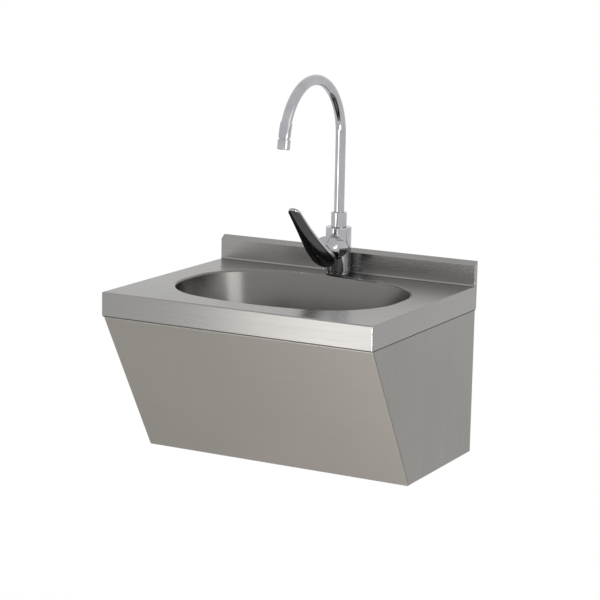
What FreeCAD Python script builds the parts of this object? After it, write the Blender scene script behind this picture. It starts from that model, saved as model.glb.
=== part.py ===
"""Wall-hung stainless steel hand wash sink with a single-lever swan-neck mixer tap.

Millimetres. +Z is up, -Y is towards the user, +X is to the user's right.
The wall is the plane y = 0, and z = 0 is the height of the upper wall fixing slots.
"""

import FreeCAD
import Part
import math
import os
from FreeCAD import Placement, Rotation, Vector

# ---------------------------------------------------------------- driving dimensions

# Deck, folded from one sheet
deck_width = 500.0
deck_depth = 400.0
deck_height = 90.0            # deck face above the upper wall fixing slots
sheet = 1.2                   # sheet of the deck, bowl and casing
lip_height = 40.0
deck_edge_radius = 2.4
splash_height = 43.0
splash_thickness = 10.7
splash_bevel = 6.5            # height of the band that leans back to the wall
splash_bend_radius = 3.0

# Bowl, a drawn oval
bowl_length = 396.8
bowl_breadth = 296.6
bowl_depth = 135.0
bowl_corner_radius = 127.5
bowl_side_radius = 468.0
rim_radius = 4.0
bowl_floor_radius = 45.0
bowl_draft = 12.0             # degrees
floor_flat = 9.0              # level floor beyond the floor radius
dish_radius = 50.0
dish_fall = 3.0
drain_recess_radius = 34.0
drain_recess_depth = 3.5
drain_hole_clearance = 0.5

# Casing, a sloping front panel between two side panels
casing_drop = 293.0           # bottom of the casing below the deck face
casing_bottom_depth = 250.0   # depth of the casing's bottom from the wall
casing_side_inset = 2.2
casing_front_inset = 5.1
casing_bend_radius = 1.6      # outside bends of the side panels
front_strip = 4.0             # upright strip of the front panel that shows below the lip
side_flange = 25.0
front_flange = 20.0
flange_gap = 1.0              # between the flanges of two panels
fixing_hole_radius = 4.5
lower_fixing_height = 40.0    # lower wall holes above the casing's bottom
lower_fixing_edge = 12.5      # lower wall holes from the side panel's face

# Weld studs and nuts
stud_radius = 2.5
stud_length = 12.0
stud_hole_clearance = 0.3
nut_flats = 8.0
nut_thickness = 4.0
side_stud_setback = 12.5
side_stud_count = 3
front_stud_count = 3
panel_stud_count = 2

# Hanging rail and wall bracket
rail_sheet = 1.5
rail_half_length = 240.0
rail_flange = 12.8
rail_ear_drop = 15.0
bracket_sheet = 2.0
bracket_drop = 22.0
bracket_rise = 15.0
bracket_lip = 12.0
bracket_gap = 0.5
bracket_slot_spacing = 320.0
bracket_slot_length = 16.0
bracket_slot_margin = 20.0    # bracket's end beyond a slot's centre

# Waste and bottle trap
waste_flange_radius = 31.5
waste_flange_thickness = 2.5
waste_flange_bevel = 3.0
waste_seal_inset = 0.5
waste_shank_radius = 20.9
waste_shank_wall = 3.4
waste_shank_length = 46.0
waste_seal = 1.0
grid_seat = 4.5               # ledge under the grid's edge
grid_set_down = 0.5
grid_thickness = 1.0
grid_clearance = 0.2
grid_hole_radius = 2.4
grid_inner_ring = 8.0
grid_inner_count = 6
grid_outer_ring = 14.5
grid_outer_count = 12
grid_bridge_width = 7.0
grid_bridge_thickness = 5.0
grid_bridge_drop = 4.0
grid_screw_radius = 2.5
grid_screw_length = 11.0
grid_screw_head_radius = 4.6
grid_screw_head = 1.6
grid_screw_slot = 1.0
lower_seal_margin = 1.0       # lower seal inside the recess's edge
lower_seal_thickness = 4.0
slip_washer_thickness = 1.5
locknut_flats = 54.0
locknut_thickness = 8.0
union_wall = 5.1
union_height = 18.0
union_lip = 3.0
union_seal = 3.0
union_grip_radius = 1.6
union_grip_count = 12
union_bevel = 2.0
pipe_radius = 16.0
pipe_wall = 1.5
pipe_flare = 1.5
pipe_clearance = 0.2
pipe_free_length = 100.0      # plain end of the waste pipe, from the wall to its depth ring
pipe_ring_height = 1.6
pipe_ring_width = 3.0
trap_radius = 30.0
trap_wall = 2.5
trap_gap = 2.0                # trap's neck below the inlet nut
trap_neck_wall = 3.0
trap_neck_height = 6.0
trap_shoulder = 3.6           # outlet spigot below the trap body's top
trap_shoulder_radius = 3.0
trap_cup_height = 28.0
trap_cup_overlap = 9.0
trap_cup_gap = 1.6            # cup's skirt below the outlet spigot
trap_skirt = 2.5
trap_cup_bottom_radius = 18.0
trap_cup_shoulder_radius = 27.0
trap_cup_shoulder_rise = 5.0
trap_cup_wall_rise = 12.0
trap_seal = 1.5
trap_dip_clearance = 12.0     # dip tube's end above the trap cup's floor
trap_outlet_length = 18.0

# Mixer tap: body and its fixing
tap_body_radius = 22.5
tap_body_height = 84.0
tap_splash_gap = 0.8
tap_foot_radius = 20.5
tap_foot_height = 5.0
tap_column_edge = 1.5
tap_seal = 1.5
tap_seal_inset = 0.5
tap_hole_radius = 13.0
tap_hole_clearance = 0.2
tap_hole_to_rim = 2.3
tap_spigot_depth = 4.0
inlet_radius = 4.6
inlet_depth = 12.0
inlet_spread = 6.3
inlet_setback = 3.5
waterway_radius = 3.0
tap_stud_radius = 4.0
tap_stud_setback = 7.6
tap_stud_length = 62.0
tap_stud_engagement = 10.0
clamp_rubber = 3.0
clamp_plate = 3.0
clamp_half_width = 22.0
clamp_front = 15.0
clamp_back = 19.5
clamp_nut_flats = 13.0
clamp_nut_length = 20.0
clamp_hole_clearance = 0.3
clamp_web = 2.5               # plate between the stud hole and the notch

# Mixer tap: boss, cartridge and dome
boss_height = 48.0            # boss axis above the deck face, at the tap's axis
boss_tilt = 4.0               # degrees above level
boss_radius = 22.0
boss_length = 38.4
cartridge_seat = 16.0
cartridge_radius = 17.4
cartridge_clearance = 0.2
housing_neck_radius = 15.0
housing_bore_radius = 14.0
housing_shoulder = 32.0
housing_end = 36.0
housing_lip_radius = 12.0
housing_lip = 1.0
base_thickness = 4.0
base_gap = 0.4
port_radius = 2.5
port_spread = 6.0
port_drop = 5.0
port_seal_radius = 4.4
port_seal = 1.0
disc_thickness = 3.2
moving_disc_radius = 11.5
disc_clearance = 0.1
carrier_clearance = 0.1
pivot_distance = 31.0         # stem's pivot from the tap's axis, along the boss
pin_radius = 1.5
pin_inset = 2.0
pin_clearance = 0.05
stem_radius = 4.0
stem_neck_radius = 1.2
stem_neck_start = 3.0
stem_ball_radius = 1.6
stem_ball_distance = 5.0
stem_shank_length = 14.0
stem_square = 7.0
stem_length = 28.0
stem_slot_clearance = 0.5
closed_tilt = 10.0            # degrees that the closed stem points below the boss axis
open_tilt = 15.0              # degrees that the fully lifted stem points above it
cartridge_nut_radius = 18.6
cartridge_nut_bore = 15.2
cartridge_nut_end = 41.4
cartridge_nut_slot = 3.0
cartridge_nut_slot_depth = 2.0
dome_wall = 1.7
dome_opening = 13.6

# Mixer tap: lever
lever_gap = 0.7
lever_shell = 3.0
lever_rim = 12.0              # rim of the lever's hood in front of the pivot
lever_hub_radius = 7.5
lever_hub_start = 15.0
lever_socket_clearance = 0.05
lever_screw_radius = 2.0
lever_screw_head_radius = 3.6
lever_screw_head = 2.5
lever_screw_seat = 2.5        # floor under the screw's head, beyond the stem
lever_screw_clearance = 0.2
lever_screw_head_clearance = 0.1
lever_screw_key = 3.0
lever_screw_key_depth = 1.5
lever_plug_radius = 3.4
lever_plug_sink = 0.3
lever_rise = 41.3             # degrees of the lever's arm above level, closed
lever_front = 36.2            # crown of the paddle's front from the pivot
lever_crown_along = 25.0      # where the crown is, along the arm
lever_crown_radius = 1700.0   # long curve of the paddle's front
lever_cross_radius = 60.0     # cross curve of the paddle's front
lever_front_edge = 1.8
lever_back_edge = 1.2
lever_foot_radius = 25.4      # round foot of the paddle over the dome
lever_foot_along = 18.4
lever_tip_radius = 11.5
lever_tip_along = 150.0
lever_side_radius = 900.0     # hollow curve of the paddle's sides
# Back of the paddle: (distance along the arm, distance from the pivot)
lever_back = (
    (-14.0, 26.4), (4.0, 24.6), (22.0, 24.4), (40.0, 25.3), (60.0, 26.6), (86.0, 27.4), (116.0, 27.1),
    (154.0, 25.6), (182.0, 24.4),
)

# Mixer tap: swan-neck spout
tube_radius = 9.0
tube_wall = 1.3
spout_straight_top = 243.5    # end of the upright leg above the deck face
spout_bend_radius = 102.0
spout_sweep = 172.0           # degrees
spout_tail = 32.0             # length of tube inside the body
spout_tail_gap = 0.5          # below the tube's inner end
spout_end = 6.0               # straight end of the tube inside the aerator
spout_running_clearance = 0.05
collar_radius = 13.8
collar_height = 26.0
collar_bevel = 1.2
collar_thread_radius = 13.0
collar_thread_depth = 8.0
glide_ring = 1.5
glide_clearance = 0.1
stop_ring = 2.5
stop_ring_radius = 12.4
o_ring = 2.0
o_ring_spacing = 9.0
ferrule_wall = 1.2
ferrule_length = 24.0
aerator_radius = 10.8
aerator_height = 16.5
aerator_neck = 3.0
aerator_wall = 1.6
aerator_bevel = 1.0
aerator_mouth_bevel = 0.8
aerator_seal = 1.2
aerator_seal_width = 2.0
aerator_insert_clearance = 0.1
aerator_jet_radius = 0.9
aerator_inner_ring = 2.6
aerator_inner_count = 6
aerator_outer_ring = 5.4
aerator_outer_count = 12

# ---------------------------------------------------------------- derived places

half_width = deck_width / 2
under_deck = deck_height - sheet
lip_bottom = deck_height - lip_height
casing_bottom = deck_height - casing_drop
casing_half = half_width - casing_side_inset
front_face = -(deck_depth - casing_front_inset)
bracket_half_length = bracket_slot_spacing / 2 + bracket_slot_margin

tap_y = -(splash_thickness + tap_splash_gap + tap_body_radius)
bowl_back = tap_y - tap_hole_radius - tap_hole_to_rim - rim_radius
bowl_y = bowl_back - bowl_breadth / 2

floor_z = deck_height - bowl_depth
recess_z = floor_z - dish_fall - drain_recess_depth

axis_x = Vector(1, 0, 0)
axis_y = Vector(0, 1, 0)
axis_z = Vector(0, 0, 1)


# ---------------------------------------------------------------- shape helpers

def export(node, *solids):
    """Write one sub-part; several solids are one group of like pieces."""
    shape = solids[0] if len(solids) == 1 else Part.makeCompound(list(solids))
    shape.exportStep("parts/" + node + ".step")


def box(x_low, x_high, y_low, y_high, z_low, z_high):
    size = (x_high - x_low, y_high - y_low, z_high - z_low)
    return Part.makeBox(*size, Vector(x_low, y_low, z_low))


def rod(radius, z_low, z_high, x=0.0, y=0.0):
    return Part.makeCylinder(radius, z_high - z_low, Vector(x, y, z_low))


def tube(outer, inner, z_low, z_high, x=0.0, y=0.0):
    return rod(outer, z_low, z_high, x, y).cut(rod(inner, z_low, z_high, x, y))


def turned(profile, x=0.0, y=0.0):
    """Turn a closed outline of (radius, height) points about an upright axis."""
    points = [Vector(radius, 0, height) for radius, height in profile]
    face = Part.Face(Part.makePolygon(points + points[:1]))
    solid = face.revolve(Vector(0, 0, 0), axis_z, 360)
    solid.translate(Vector(x, y, 0))
    return solid


def hexagon(flats, z_low, z_high, x=0.0, y=0.0):
    corner = flats / math.sqrt(3)
    angles = [math.radians(60 * side) for side in range(6)]
    points = [Vector(x + corner * math.cos(a), y + corner * math.sin(a), z_low) for a in angles]
    return Part.Face(Part.makePolygon(points + points[:1])).extrude(Vector(0, 0, z_high - z_low))


def prism_x(outline, x_low, x_high):
    """Extrude a closed outline of (y, z) points along X."""
    points = [Vector(x_low, y, z) for y, z in outline]
    return Part.Face(Part.makePolygon(points + points[:1])).extrude(Vector(x_high - x_low, 0, 0))


def shifted_lines(points, distance, closed):
    """Offset a (y, z) path to its left by a distance, with mitred corners."""
    count = len(points)
    sides = count if closed else count - 1
    lines = []
    for index in range(sides):
        (y0, z0), (y1, z1) = points[index], points[(index + 1) % count]
        length = math.hypot(y1 - y0, z1 - z0)
        run = ((y1 - y0) / length, (z1 - z0) / length)
        lines.append(((y0 - run[1] * distance, z0 + run[0] * distance), run))
    result = []
    for index in range(count):
        if not closed and index in (0, count - 1):
            (y, z), run = lines[0] if index == 0 else lines[-1]
            end = points[index]
            along = (end[0] - y) * run[0] + (end[1] - z) * run[1]
            result.append((y + run[0] * along, z + run[1] * along))
            continue
        (ya, za), a = lines[index - 1]
        (yb, zb), b = lines[index % sides]
        along = ((yb - ya) * b[1] - (zb - za) * b[0]) / (a[0] * b[1] - a[1] * b[0])
        result.append((ya + a[0] * along, za + a[1] * along))
    return result


def folded(path, thickness, x_low, x_high):
    """Sheet of one thickness on the left of a folded (y, z) path, extruded along X."""
    return prism_x(path + shifted_lines(path, thickness, False)[::-1], x_low, x_high)


def placed(shape, placement):
    """Copy of a piece, moved on by a placement from where it stands."""
    copy = shape.copy()
    copy.Placement = placement.multiply(copy.Placement)
    return copy


def fuse(shapes):
    return shapes[0].multiFuse(list(shapes[1:])).removeSplitter()


def cut(shape, tools):
    for tool in tools:
        shape = shape.cut(tool)
    return shape


# ---------------------------------------------------------------- bowl outline

def oval_arcs():
    """Arcs of the bowl's outline at its wall: (centre x, centre y, radius, start, end) in degrees.

    Four corner arcs and two long side arcs; two short straights join the corners at the ends.
    """
    a = bowl_length / 2
    b = bowl_breadth / 2
    corner_x = a - bowl_corner_radius
    reach = bowl_side_radius - bowl_corner_radius
    corner_y = b - bowl_side_radius + math.sqrt(reach ** 2 - corner_x ** 2)
    turn = math.degrees(math.atan2(corner_y - (b - bowl_side_radius), corner_x))
    r = bowl_corner_radius
    side_y = b - bowl_side_radius
    return [
        (corner_x, corner_y, r, 0, turn),
        (0.0, side_y, bowl_side_radius, turn, 180 - turn),
        (-corner_x, corner_y, r, 180 - turn, 180),
        (-corner_x, -corner_y, r, 180, 180 + turn),
        (0.0, -side_y, bowl_side_radius, 180 + turn, 360 - turn),
        (corner_x, -corner_y, r, 360 - turn, 360),
    ]


def on_arc(arc, grow, degrees, z):
    cx, cy, radius, _, _ = arc
    angle = math.radians(degrees)
    return Vector(cx + (radius + grow) * math.cos(angle), cy + (radius + grow) * math.sin(angle), z)


def oval_prism(grow, z_low, z_high):
    """Prism of the bowl's outline, grown outwards, centred on the bowl."""
    edges = []
    arcs = oval_arcs()
    for arc in arcs:
        start, middle, end = arc[3], (arc[3] + arc[4]) / 2, arc[4]
        points = [on_arc(arc, grow, angle, z_low) for angle in (start, middle, end)]
        edges.append(Part.Arc(*points).toShape())
    for before, after in ((arcs[2], arcs[3]), (arcs[5], arcs[0])):
        start = on_arc(before, grow, before[4], z_low)
        edges.append(Part.LineSegment(start, on_arc(after, grow, after[3], z_low)).toShape())
    face = Part.Face(Part.Wire(Part.__sortEdges__(edges)))
    prism = face.extrude(Vector(0, 0, z_high - z_low))
    prism.translate(Vector(0, bowl_y, 0))
    return prism


def bowl_section():
    """Corner points of the bowl's section as (inwards, up) from the wall line at the deck face.

    Returns the visible side's points and the reach of the level floor.
    """
    draft = math.radians(bowl_draft)
    rim = (-rim_radius, -rim_radius)
    wall_start = (rim[0] + rim_radius * math.cos(draft), rim[1] + rim_radius * math.sin(draft))
    drop = wall_start[1] + bowl_depth
    wall_foot = (wall_start[0] + drop * math.tan(draft), -bowl_depth)
    tangent = bowl_floor_radius * math.tan((math.pi / 2 - draft) / 2)
    wall_end = (wall_foot[0] - tangent * math.sin(draft), wall_foot[1] + tangent * math.cos(draft))
    floor_start = (wall_foot[0] + tangent, -bowl_depth)
    return rim, wall_start, wall_end, floor_start, floor_start[0] + floor_flat


def bowl_side_edges(inset, radius_of):
    """Edges of one side of the bowl's sheet; inset is 0 for the seen side, one sheet for the back."""
    rim, wall_start, wall_end, floor_start, floor_end = bowl_section()
    draft = math.radians(bowl_draft)
    bend = (floor_start[0], floor_start[1] + bowl_floor_radius)

    def at(inwards, up):
        return Vector(radius_of(inwards), 0, up)

    def on_rim(angle):
        reach = rim_radius - inset
        return at(rim[0] + reach * math.cos(angle), rim[1] + reach * math.sin(angle))

    def on_bend(angle):
        reach = bowl_floor_radius + inset
        return at(bend[0] - reach * math.cos(angle), bend[1] - reach * math.sin(angle))

    top = on_rim(math.pi / 2)
    low = on_rim(draft)
    start = on_bend(draft)
    foot = on_bend(math.pi / 2)
    end = at(floor_end, -bowl_depth - inset)
    return [
        Part.Arc(top, on_rim((math.pi / 2 + draft) / 2), low).toShape(),
        Part.LineSegment(low, start).toShape(),
        Part.Arc(start, on_bend((math.pi / 2 + draft) / 2), foot).toShape(),
        Part.LineSegment(foot, end).toShape(),
    ], top, end


def bowl_section_face(radius_of):
    seen, seen_top, seen_end = bowl_side_edges(0.0, radius_of)
    back, back_top, back_end = bowl_side_edges(sheet, radius_of)
    closing = [
        Part.LineSegment(seen_top, back_top).toShape(),
        Part.LineSegment(seen_end, back_end).toShape(),
    ]
    return Part.Face(Part.Wire(Part.__sortEdges__(seen + back + closing)))


# ---------------------------------------------------------------- sheet metal

def deck_top():
    """Deck with front and side lips, and the splashback folded up at the wall."""
    tray = box(-half_width, half_width, -deck_depth, 0, lip_bottom, deck_height)
    front_corners = [edge for edge in tray.Edges
                     if abs(edge.CenterOfMass.y + deck_depth) < 1e-6
                     and abs(abs(edge.CenterOfMass.x) - half_width) < 1e-6]
    top_rim = [edge for edge in tray.Edges
               if abs(edge.CenterOfMass.z - deck_height) < 1e-6 and edge.CenterOfMass.y < -1e-6]
    tray = tray.makeFillet(deck_edge_radius, front_corners + top_rim)
    inside = box(-half_width + sheet, half_width - sheet, -deck_depth + sheet, 0, lip_bottom, under_deck)
    tray = tray.cut(inside)
    inner = half_width - sheet
    cavity = box(-inner, inner, -splash_thickness + sheet, 0, under_deck, deck_height)
    tray = tray.cut(cavity)
    splash_top = deck_height + splash_height
    path = [
        (0, under_deck),
        (0, splash_top),
        (-splash_thickness, splash_top - splash_bevel),
        (-splash_thickness, deck_height - sheet),
    ]
    deck = fuse([tray, folded(path, sheet, -half_width, half_width), splash_cove()])
    opening = oval_prism(rim_radius, lip_bottom, splash_top)
    tap_hole = rod(tap_hole_radius, lip_bottom, splash_top, 0, tap_y)
    return cut(deck, [opening, tap_hole])


def splash_cove():
    """Round inside bend between the deck and the splashback."""
    r = splash_bend_radius
    half = half_width - deck_edge_radius
    cove = box(-half, half, -splash_thickness - r, -splash_thickness, deck_height, deck_height + r)
    centre = Vector(-half, -splash_thickness - r, deck_height + r)
    return cove.cut(Part.makeCylinder(r, 2 * half, centre, axis_x))


def splash_end_cap(side):
    """Plate that closes the splashback's folded section at one end."""
    outer = [
        (0, deck_height),
        (0, deck_height + splash_height),
        (-splash_thickness, deck_height + splash_height - splash_bevel),
        (-splash_thickness, deck_height),
    ]
    inner = shifted_lines(outer, sheet, True)
    inner = [(y, deck_height if index in (0, 3) else z) for index, (y, z) in enumerate(inner)]
    ends = sorted((side * half_width, side * (half_width - sheet)))
    return prism_x(inner, *ends)


def bowl():
    """Drawn oval bowl: rolled rim, drafted wall, round foot, and a dished waste seat."""
    sectors = []
    arcs = oval_arcs()
    for cx, cy, radius, start, end in arcs:
        face = bowl_section_face(lambda inwards, r=radius: r - inwards)
        sector = face.revolve(Vector(0, 0, 0), axis_z, end - start)
        sector.rotate(Vector(0, 0, 0), axis_z, start)
        sector.translate(Vector(cx, cy + bowl_y, deck_height))
        sectors.append(sector)
    corner_x, corner_y = arcs[0][0], arcs[0][1]
    for side in (1, -1):
        face = bowl_section_face(lambda inwards: bowl_corner_radius - inwards)
        straight = face.extrude(Vector(0, 2 * corner_y, 0))
        straight.translate(Vector(corner_x, -corner_y, deck_height))
        if side < 0:
            straight.rotate(Vector(0, 0, 0), axis_z, 180)
        straight.translate(Vector(0, bowl_y, 0))
        sectors.append(straight)
    floor_reach = bowl_section()[4]
    floor = oval_prism(-floor_reach, floor_z - sheet, floor_z)
    floor = floor.cut(rod(dish_radius, floor_z - sheet, floor_z, 0, bowl_y))
    slope = [
        (dish_radius, floor_z),
        (drain_recess_radius + sheet, floor_z - dish_fall),
        (drain_recess_radius, recess_z),
        (waste_shank_radius + drain_hole_clearance, recess_z),
    ]
    dish = turned(slope + [(radius, height - sheet) for radius, height in slope[::-1]], 0, bowl_y)
    return fuse(sectors + [floor, dish])


def casing_front_path(inset):
    """Front panel's upright strip and slope as (y, z) points, moved inwards by an inset."""
    path = [
        (front_face, under_deck),
        (front_face, lip_bottom - front_strip),
        (-casing_bottom_depth, casing_bottom),
    ]
    moved = shifted_lines(path, inset, False)
    top, fold, foot = moved
    slope = (foot[0] - fold[0]) / (foot[1] - fold[1])
    return [(top[0], under_deck), fold, (fold[0] + slope * (casing_bottom - fold[1]), casing_bottom)]


def ring_places(rings, x=0.0, y=0.0):
    """Places evenly spaced on circles, each circle given as (radius, count)."""
    places = []
    for radius, count in rings:
        for index in range(count):
            angle = 2 * math.pi * index / count
            places.append((x + radius * math.cos(angle), y + radius * math.sin(angle)))
    return places


def stud_places(first, last, count):
    if count == 1:
        return [(first + last) / 2]
    return [first + (last - first) * index / (count - 1) for index in range(count)]


def front_stud_row():
    spread = casing_half - 4 * side_flange
    y = front_face + sheet + front_flange / 2
    return [(x, y) for x in stud_places(-spread, spread, front_stud_count)]


def side_stud_row(side):
    front = front_face + 3 * side_flange
    back = -2 * side_flange
    x = side * (casing_half - side_stud_setback)
    return [(x, y) for y in stud_places(front, back, side_stud_count)]


def panel_stud_frame():
    """Slope of the front panel: start point, unit run and inward normal, all (y, z)."""
    _, fold, foot = casing_front_path(sheet)
    length = math.hypot(foot[0] - fold[0], foot[1] - fold[1])
    run = ((foot[0] - fold[0]) / length, (foot[1] - fold[1]) / length)
    return fold, run, (-run[1], run[0]), length


def panel_stud_row():
    """Places of the studs behind the sloping front, as (x, y, z) on its inner face."""
    fold, run, _, length = panel_stud_frame()
    places = stud_places(2 * side_flange, length - 2 * side_flange, panel_stud_count)
    x = casing_half - side_stud_setback
    return [(side * x, fold[0] + run[0] * s, fold[1] + run[1] * s) for side in (-1, 1) for s in places]


def along_slope_normal(shape, place):
    """Stand an upright piece on the front panel's inner face at a place."""
    _, _, normal, _ = panel_stud_frame()
    turn = Rotation(axis_z, Vector(0, normal[0], normal[1]))
    return placed(shape, Placement(Vector(*place), turn))


def panel_holes():
    radius = stud_radius + stud_hole_clearance
    return [along_slope_normal(rod(radius, -sheet, stud_length), place) for place in panel_stud_row()]


def deck_stud_holes():
    radius = stud_radius + stud_hole_clearance
    row = front_stud_row() + side_stud_row(1) + side_stud_row(-1)
    return [rod(radius, under_deck - 4 * sheet, deck_height, x, y) for x, y in row]


def front_panel():
    """Sloping front with an upright strip, and narrow flanges behind its top and bottom."""
    face = folded(casing_front_path(0.0), sheet, -casing_half, casing_half)
    x = casing_half - side_flange - flange_gap
    top = box(-x, x, front_face, front_face + front_flange, under_deck - sheet, under_deck)
    foot = -casing_bottom_depth
    bottom = box(-x, x, foot, foot + front_flange, casing_bottom, casing_bottom + sheet)
    return cut(fuse([face, top, bottom]), deck_stud_holes())


def side_panel(side):
    """Side of the casing with an inward flange all round; the rear flange lies on the wall."""
    outline = [(0, under_deck)] + casing_front_path(sheet) + [(0, casing_bottom)]
    inner = shifted_lines(outline, sheet, True)
    panel = prism_x(outline, casing_half - side_flange, casing_half)
    outer_edges = [edge for edge in panel.Edges if edge.BoundBox.XMin > casing_half - sheet]
    bends = [edge for edge in outer_edges
             if edge.BoundBox.YMin < -sheet and edge.CenterOfMass.z < under_deck - sheet]
    panel = panel.makeFillet(casing_bend_radius, bends)
    panel = panel.cut(prism_x(inner, casing_half - side_flange, casing_half - sheet))
    if side < 0:
        panel = panel.mirror(Vector(0, 0, 0), axis_x)
    hole_z = casing_bottom + lower_fixing_height
    place = Vector(side * (casing_half - lower_fixing_edge), -2 * sheet, hole_z)
    wall_hole = Part.makeCylinder(fixing_hole_radius, 2 * sheet, place, axis_y)
    return cut(panel, [wall_hole] + deck_stud_holes() + panel_holes())


def deck_studs():
    row = front_stud_row() + side_stud_row(1) + side_stud_row(-1)
    return [rod(stud_radius, under_deck - stud_length, under_deck, x, y) for x, y in row]


def deck_nuts():
    row = front_stud_row() + side_stud_row(1) + side_stud_row(-1)
    top = under_deck - sheet
    low = top - nut_thickness
    return [hexagon(nut_flats, low, top, x, y).cut(rod(stud_radius, low, top, x, y)) for x, y in row]


def panel_studs():
    return [along_slope_normal(rod(stud_radius, 0, stud_length), place) for place in panel_stud_row()]


def panel_nuts():
    nuts = []
    for place in panel_stud_row():
        nut = hexagon(nut_flats, sheet, sheet + nut_thickness)
        nuts.append(along_slope_normal(nut.cut(rod(stud_radius, sheet, sheet + nut_thickness)), place))
    return nuts


def rear_rail():
    """Channel below the deck at the wall; its web hangs behind the wall bracket's lip."""
    back = -sheet
    inner_x = casing_half - side_flange - flange_gap
    web = box(-inner_x, inner_x, back - rail_sheet, back, bracket_rise, under_deck)
    flange = box(-inner_x, inner_x, back - rail_flange, back, under_deck - rail_sheet, under_deck)
    ears = box(-rail_half_length, rail_half_length, back - rail_sheet, back, bracket_rise,
               under_deck - rail_ear_drop)
    return fuse([web, flange, ears])


def wall_bracket():
    """Plate on the wall whose top is folded forwards and up into a lip."""
    lip_back = sheet + rail_sheet + bracket_gap
    lip_front = lip_back + bracket_sheet
    top = bracket_rise
    plate = box(-bracket_half_length, bracket_half_length, -bracket_sheet, 0, -bracket_drop, top)
    shelf = box(-bracket_half_length, bracket_half_length, -lip_front, 0, top - bracket_sheet, top)
    lip = box(-bracket_half_length, bracket_half_length, -lip_front, -lip_back, top - bracket_sheet,
              top + bracket_lip)
    slots = []
    for side in (-1, 1):
        x = side * bracket_slot_spacing / 2
        reach = bracket_slot_length / 2 - fixing_hole_radius
        centres = [Vector(x + end * reach, -bracket_sheet, 0) for end in (-1, 1)]
        ends = [Part.makeCylinder(fixing_hole_radius, bracket_sheet, centre, axis_y) for centre in centres]
        middle = box(x - reach, x + reach, -bracket_sheet, 0, -fixing_hole_radius, fixing_hole_radius)
        slots.append(fuse(ends + [middle]))
    return cut(fuse([plate, shelf, lip]), slots)


# ---------------------------------------------------------------- waste and trap

waste_bore_radius = waste_shank_radius - waste_shank_wall
waste_flange_low = recess_z + waste_seal
waste_top = waste_flange_low + waste_flange_thickness
shank_low = waste_flange_low - waste_shank_length
grid_radius = waste_bore_radius + grid_seat
grid_low = waste_top - grid_set_down - grid_thickness
bridge_top = grid_low - grid_bridge_drop
under_bowl = recess_z - sheet
lower_seal_low = under_bowl - lower_seal_thickness
slip_washer_low = lower_seal_low - slip_washer_thickness
locknut_low = slip_washer_low - locknut_thickness
inlet_flare_low = shank_low - union_seal - pipe_flare
inlet_union_low = inlet_flare_low - union_lip
trap_top = inlet_union_low - trap_gap
trap_body_top = trap_top - trap_neck_height
outlet_z = trap_body_top - trap_shoulder - waste_shank_radius
trap_body_low = outlet_z - waste_shank_radius - trap_cup_gap - trap_cup_overlap
trap_cup_low = trap_body_low - trap_cup_height
spigot_end = bowl_y + trap_radius + trap_outlet_length
outlet_flare = spigot_end + union_seal


def waste_flange():
    """Flange, bridge for the grid's screw, and threaded shank through the bowl."""
    profile = [
        (waste_bore_radius, shank_low),
        (waste_shank_radius, shank_low),
        (waste_shank_radius, waste_flange_low),
        (waste_flange_radius, waste_flange_low),
        (waste_flange_radius, waste_flange_low + waste_seal),
        (waste_flange_radius - waste_flange_bevel, waste_top),
        (grid_radius, waste_top),
        (grid_radius, grid_low),
        (waste_bore_radius, grid_low),
    ]
    body = turned(profile, 0, bowl_y)
    half = grid_bridge_width / 2
    reach = waste_bore_radius + waste_shank_wall / 2
    bridge_low = bridge_top - grid_bridge_thickness
    bridge = box(-reach, reach, bowl_y - half, bowl_y + half, bridge_low, bridge_top)
    thread = rod(grid_screw_radius, bridge_top - grid_bridge_thickness, bridge_top, 0, bowl_y)
    return fuse([body, bridge]).cut(thread)


def waste_grid():
    grid = rod(grid_radius - grid_clearance, grid_low, grid_low + grid_thickness, 0, bowl_y)
    holes = [rod(grid_screw_radius + grid_clearance, grid_low, waste_top, 0, bowl_y)]
    rings = ((grid_inner_ring, grid_inner_count), (grid_outer_ring, grid_outer_count))
    for place in ring_places(rings, 0, bowl_y):
        holes.append(rod(grid_hole_radius, grid_low, waste_top, *place))
    return cut(grid, holes)


def grid_screw():
    top = grid_low + grid_thickness
    crown = top + grid_screw_head
    profile = [
        (0, crown),
        (grid_screw_head_radius * 0.7, crown - grid_screw_head / 4),
        (grid_screw_head_radius, top),
        (grid_screw_radius, top),
        (grid_screw_radius, top - grid_screw_length),
        (0, top - grid_screw_length),
    ]
    half_slot = grid_screw_slot / 2
    slot = box(-grid_screw_head_radius, grid_screw_head_radius, bowl_y - half_slot, bowl_y + half_slot,
               top + grid_screw_head / 2, crown)
    return turned(profile, 0, bowl_y).cut(slot)


def union_nut():
    """Coupling nut about an upright axis: its lip at z = 0 and its mouth at the top."""
    outer = waste_shank_radius + union_wall
    bore = pipe_radius + pipe_clearance
    profile = [
        (bore, 0),
        (outer - union_bevel, 0),
        (outer, union_bevel),
        (outer, union_height),
        (waste_shank_radius, union_height),
        (waste_shank_radius, union_lip),
        (bore, union_lip),
    ]
    places = ring_places(((outer, union_grip_count),))
    grips = [rod(union_grip_radius, union_lip, union_height, *place) for place in places]
    return cut(turned(profile), grips)


def flared_pipe(length):
    """Pipe about an upright axis, hanging down from a flare at z = 0."""
    bore = pipe_radius - pipe_wall
    pipe = tube(pipe_radius, bore, -length, 0)
    return fuse([pipe, tube(waste_shank_radius - pipe_clearance, bore, -pipe_flare, 0)])


def union_ring():
    """Seal under a coupling nut, with its top face at z = 0."""
    return tube(waste_shank_radius - pipe_clearance, pipe_radius - pipe_wall, -union_seal, 0)


outlet_turn = Rotation(axis_x, 90)          # upright axis laid along the outlet, top towards the trap


def at_inlet(shape, z):
    return placed(shape, Placement(Vector(0, bowl_y, z), Rotation()))


def at_outlet(shape, y):
    return placed(shape, Placement(Vector(0, y, outlet_z), outlet_turn))


def trap_inlet_nut():
    return at_inlet(union_nut(), inlet_union_low)


def trap_inlet_seal():
    return at_inlet(union_ring(), shank_low)


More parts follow.
